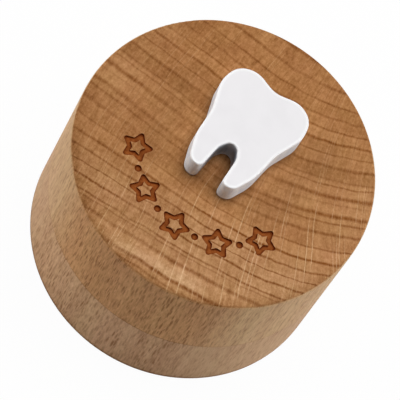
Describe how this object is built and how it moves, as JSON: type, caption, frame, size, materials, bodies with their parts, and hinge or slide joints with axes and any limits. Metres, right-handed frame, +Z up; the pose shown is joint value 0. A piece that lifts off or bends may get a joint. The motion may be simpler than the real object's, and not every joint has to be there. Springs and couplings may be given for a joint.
{
  "type": "baby tooth box",
  "caption": "Small round turned beech keepsake box with a deep lift-off lid, a raised white tooth on top and an engraved band of stars and dots.",
  "frame": {"origin": "centre of the flat foot that the box stands on", "axes": "+Z up along the turning axis, +Y towards the crown of the tooth on the lid, +X to its right as read from above"},
  "size_m": [0.055, 0.055, 0.0418],
  "materials": {
    "beech_base": "waxed turned beech, pale",
    "beech_lid": "waxed turned beech, end grain on top, burnt engraving",
    "white_paint": "satin white paint over wood",
    "adhesive_foam": "thin double-sided adhesive foam",
    "nickel_plate": "nickel plating"
  },
  "bodies": {
    "base": {"base_cup": "beech_base", "base_magnet_1": "nickel_plate", "base_magnet_2": "nickel_plate", "base_magnet_3": "nickel_plate"},
    "cover": {"lid": "beech_lid", "tooth_emblem": "white_paint", "emblem_adhesive_pad": "adhesive_foam", "lid_magnet_1": "nickel_plate", "lid_magnet_2": "nickel_plate", "lid_magnet_3": "nickel_plate"}
  },
  "joints": [
    {"name": "lid_lift", "type": "slide", "parent": "base", "child": "cover", "axis": [0, 0, 1], "range_m": [0, 0.05]}
  ]
}
